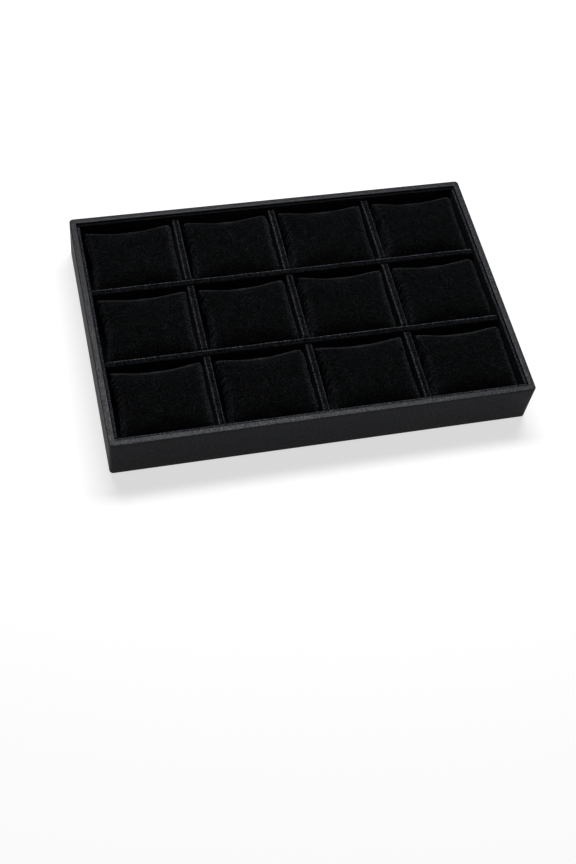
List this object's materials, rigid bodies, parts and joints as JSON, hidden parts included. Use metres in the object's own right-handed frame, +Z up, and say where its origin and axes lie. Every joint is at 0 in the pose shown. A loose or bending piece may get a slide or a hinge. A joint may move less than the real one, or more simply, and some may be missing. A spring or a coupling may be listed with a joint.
{
  "type": "watch display tray",
  "caption": "Low open tray in black leatherette, velvet lined and divided into cells that each hold a stuffed velvet pillow for showing a watch.",
  "frame": {"origin": "middle of the underside", "axes": "+X along the tray's length to the right, +Y to the back, +Z up"},
  "size_m": [0.35, 0.23, 0.041],
  "materials": {
    "leatherette": "black fine-grained leatherette, satin",
    "lining_velvet": "black short-pile velvet",
    "divider_velvet": "black short-pile velvet with paler worn edges",
    "pillow_velvet": "deep black plush velvet",
    "fibreboard": "raw fibreboard",
    "felt": "black felt"
  },
  "bodies": {
    "root": {"base_cover": "felt", "base_board": "fibreboard", "front_wall": "fibreboard", "back_wall": "fibreboard", "left_wall": "fibreboard", "right_wall": "fibreboard", "leatherette_wrap": "leatherette", "floor_lining": "lining_velvet", "front_lining": "lining_velvet", "back_lining": "lining_velvet", "left_lining": "lining_velvet", "right_lining": "lining_velvet", "row_divider_1": "divider_velvet", "row_divider_2": "divider_velvet", "column_divider_1": "divider_velvet", "column_divider_2": "divider_velvet", "column_divider_3": "divider_velvet", "pillow_front_1": "pillow_velvet", "pillow_front_2": "pillow_velvet", "pillow_front_3": "pillow_velvet", "pillow_front_4": "pillow_velvet", "pillow_middle_1": "pillow_velvet", "pillow_middle_2": "pillow_velvet", "pillow_middle_3": "pillow_velvet", "pillow_middle_4": "pillow_velvet", "pillow_back_1": "pillow_velvet", "pillow_back_2": "pillow_velvet", "pillow_back_3": "pillow_velvet", "pillow_back_4": "pillow_velvet"}
  },
  "joints": []
}
